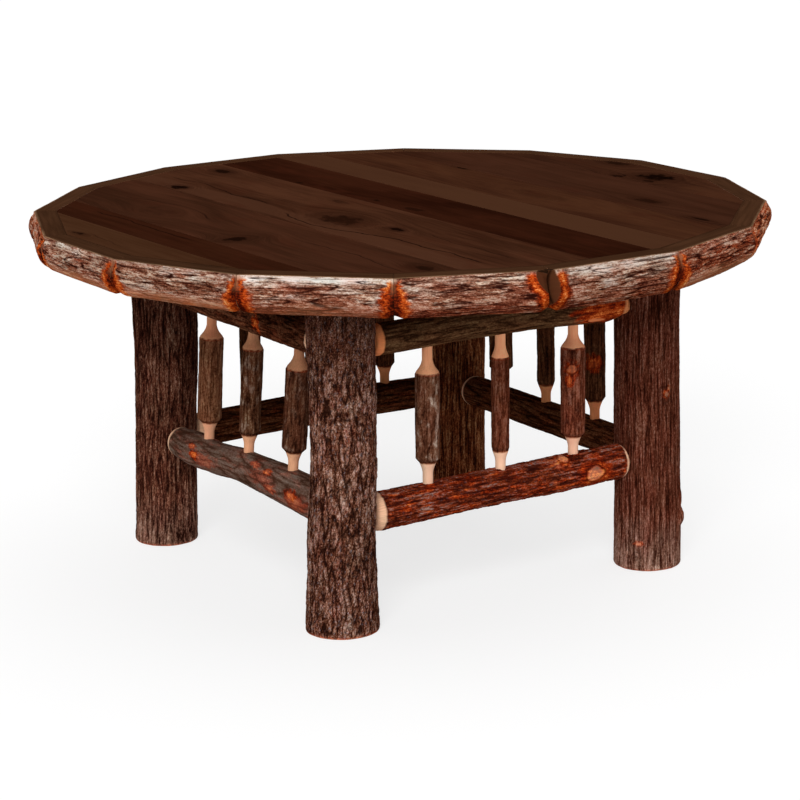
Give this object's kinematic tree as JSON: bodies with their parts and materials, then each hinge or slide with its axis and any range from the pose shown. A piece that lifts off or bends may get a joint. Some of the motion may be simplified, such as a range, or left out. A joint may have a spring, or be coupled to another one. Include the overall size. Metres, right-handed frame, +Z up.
{
  "type": "rustic hickory coffee table",
  "caption": "Low round table: plank top in a many-sided frame of bark-on hickory logs, on log legs tied by two tiers of pole rails with whittled spindles between them.",
  "frame": {"origin": "on the floor, below the centre of the round top and of the square of legs", "axes": "+Z up, +X to the right along the front side of the base, -Y towards the front"},
  "size_m": [1.0454, 1.0454, 0.51],
  "materials": {
    "top_boards": "dark brown stain, satin",
    "edge_bark": "hickory bark left on, satin clear coat; sawn tops stained brown",
    "leg_bark": "hickory bark left on, satin clear coat",
    "rail_bark": "hickory bark left on, satin clear coat; sanded light ends",
    "spindle_bark": "hickory bark left on, satin clear coat; pale whittled necks",
    "batten_wood": "planed softwood, unfinished",
    "lag_steel": "zinc plated"
  },
  "bodies": {
    "root": {"batten_back": "batten_wood", "batten_front": "batten_wood", "batten_middle": "batten_wood", "board_1": "top_boards", "board_2": "top_boards", "board_3": "top_boards", "board_4": "top_boards", "board_5": "top_boards", "board_6": "top_boards", "board_7": "top_boards", "board_8": "top_boards", "board_9": "top_boards", "edge_log_01": "edge_bark", "edge_log_02": "edge_bark", "edge_log_03": "edge_bark", "edge_log_04": "edge_bark", "edge_log_05": "edge_bark", "edge_log_06": "edge_bark", "edge_log_07": "edge_bark", "edge_log_08": "edge_bark", "edge_log_09": "edge_bark", "edge_log_10": "edge_bark", "edge_log_11": "edge_bark", "edge_log_12": "edge_bark", "edge_log_13": "edge_bark", "edge_log_14": "edge_bark", "edge_log_15": "edge_bark", "edge_log_16": "edge_bark", "leg_back_left": "leg_bark", "leg_back_right": "leg_bark", "leg_front_left": "leg_bark", "leg_front_right": "leg_bark", "leg_lag_screws": "lag_steel", "lower_rail_back": "rail_bark", "lower_rail_front": "rail_bark", "lower_rail_left": "rail_bark", "lower_rail_right": "rail_bark", "spindle_back_1": "spindle_bark", "spindle_back_2": "spindle_bark", "spindle_back_3": "spindle_bark", "spindle_front_1": "spindle_bark", "spindle_front_2": "spindle_bark", "spindle_front_3": "spindle_bark", "spindle_left_1": "spindle_bark", "spindle_left_2": "spindle_bark", "spindle_left_3": "spindle_bark", "spindle_right_1": "spindle_bark", "spindle_right_2": "spindle_bark", "spindle_right_3": "spindle_bark", "upper_rail_back": "rail_bark", "upper_rail_front": "rail_bark", "upper_rail_left": "rail_bark", "upper_rail_right": "rail_bark"}
  },
  "joints": []
}
